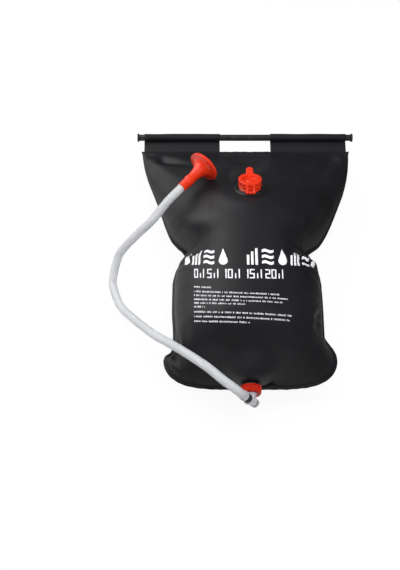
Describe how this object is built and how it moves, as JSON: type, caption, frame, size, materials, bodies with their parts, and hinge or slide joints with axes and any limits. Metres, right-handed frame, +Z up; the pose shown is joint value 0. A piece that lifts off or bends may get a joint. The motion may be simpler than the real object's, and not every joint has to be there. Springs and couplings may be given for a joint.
{
  "type": "camp shower bag",
  "caption": "Filled camp shower bag lying on its back: welded film panels, flip-cap filler, outlet nut with tap, hose and twist-on shower head, hanging rod in a hem.",
  "frame": {"origin": "on the ground under the middle of the bag, its rod and its tap, measured without the hose and head", "axes": "+X to the right across the bag, +Y towards the hanging end, +Z up from the back film to the front film"},
  "size_m": [0.4758, 0.5887, 0.2052],
  "materials": {
    "black_film": "smooth black vinyl film, semi-gloss",
    "black_plastic": "moulded, satin",
    "red_plastic": "moulded, glossy",
    "pink_plastic": "moulded, finely pierced",
    "clear_plastic": "translucent white",
    "grey_plastic": "translucent grey",
    "white_rubber": "soft, matt",
    "milky_hose": "translucent milky vinyl tube"
  },
  "bodies": {
    "bag": {"front_panel": "black_film", "back_panel": "black_film", "hem_left": "black_film", "hem_right": "black_film", "hanging_rod": "black_plastic", "rod_cap_left": "black_plastic", "rod_cap_right": "black_plastic", "filler_flange": "black_plastic", "filler_collar": "red_plastic", "filler_seal": "white_rubber", "filler_pin": "black_plastic", "outlet_flange": "black_plastic", "outlet_washer": "white_rubber", "tap_body": "clear_plastic", "hose_barb": "black_plastic", "hose_clip": "clear_plastic", "hose": "milky_hose", "head_sleeve": "red_plastic", "head_oring": "white_rubber"},
    "cap": {"filler_cap": "red_plastic"},
    "nut": {"outlet_nut": "red_plastic"},
    "key": {"tap_plug": "black_plastic", "tap_key": "grey_plastic"},
    "bell": {"head_bell": "red_plastic", "spray_plate": "pink_plastic"}
  },
  "joints": [
    {"name": "cap_flip", "type": "hinge", "parent": "bag", "child": "cap", "pos_m": [0.0015, 0.07795, 0.19126], "axis": [1, 0, 0], "range_deg": [0, 115]},
    {"name": "nut_turn", "type": "hinge", "parent": "bag", "child": "nut", "pos_m": [-0.0015, -0.24325, 0.1], "axis": [0, -1, 0], "range_deg": [0, 330]},
    {"name": "tap_turn", "type": "hinge", "parent": "bag", "child": "key", "pos_m": [-0.0015, -0.28525, 0.1], "axis": [-0.5, 0, 0.866], "range_deg": [0, 90]},
    {"name": "head_twist", "type": "hinge", "parent": "bag", "child": "bell", "pos_m": [-0.1229, 0.098, 0.1765], "axis": [0.656, 0.7546, -0.0175], "range_deg": [0, 90]}
  ]
}
